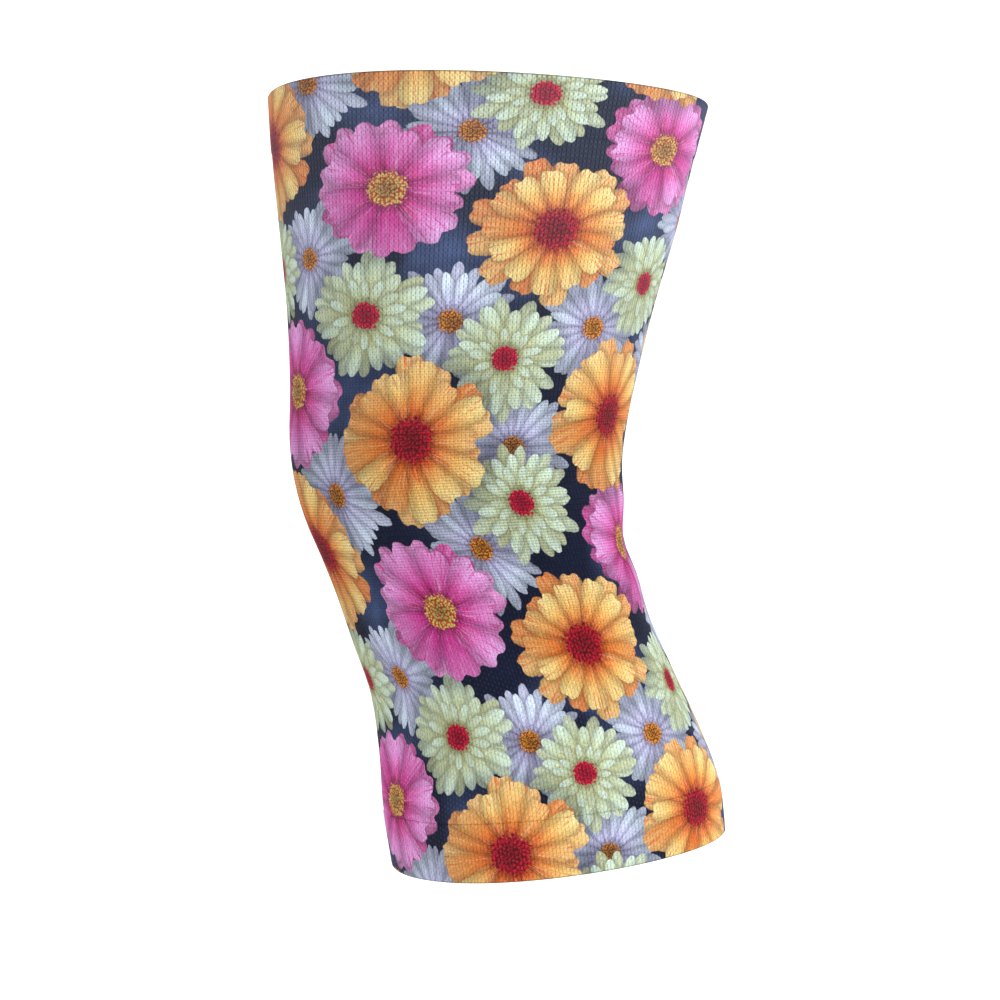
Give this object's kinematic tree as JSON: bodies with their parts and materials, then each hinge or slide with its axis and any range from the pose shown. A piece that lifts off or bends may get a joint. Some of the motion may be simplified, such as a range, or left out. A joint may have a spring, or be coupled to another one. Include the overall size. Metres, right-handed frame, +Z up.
{
  "type": "knee sleeve",
  "caption": "Open knitted sleeve that grips the knee from lower thigh to upper calf, with a turned welt at each end and an all-over floral print, in its worn form.",
  "frame": {"origin": "middle of the knee inside the sleeve, where the leg holds it", "axes": "+Z up the leg towards the thigh rim, -Y towards the kneecap, +X to the wearer's left"},
  "size_m": [0.1506, 0.1757, 0.2949],
  "materials": {
    "top_welt": "printed elastic knit, doubled, matt with a soft sheen",
    "knit_body": "printed elastic knit, matt with a soft sheen",
    "bottom_welt": "printed elastic knit, doubled, matt with a soft sheen"
  },
  "bodies": {
    "root": {"top_welt": "top_welt", "knit_body": "knit_body", "bottom_welt": "bottom_welt"}
  },
  "joints": []
}
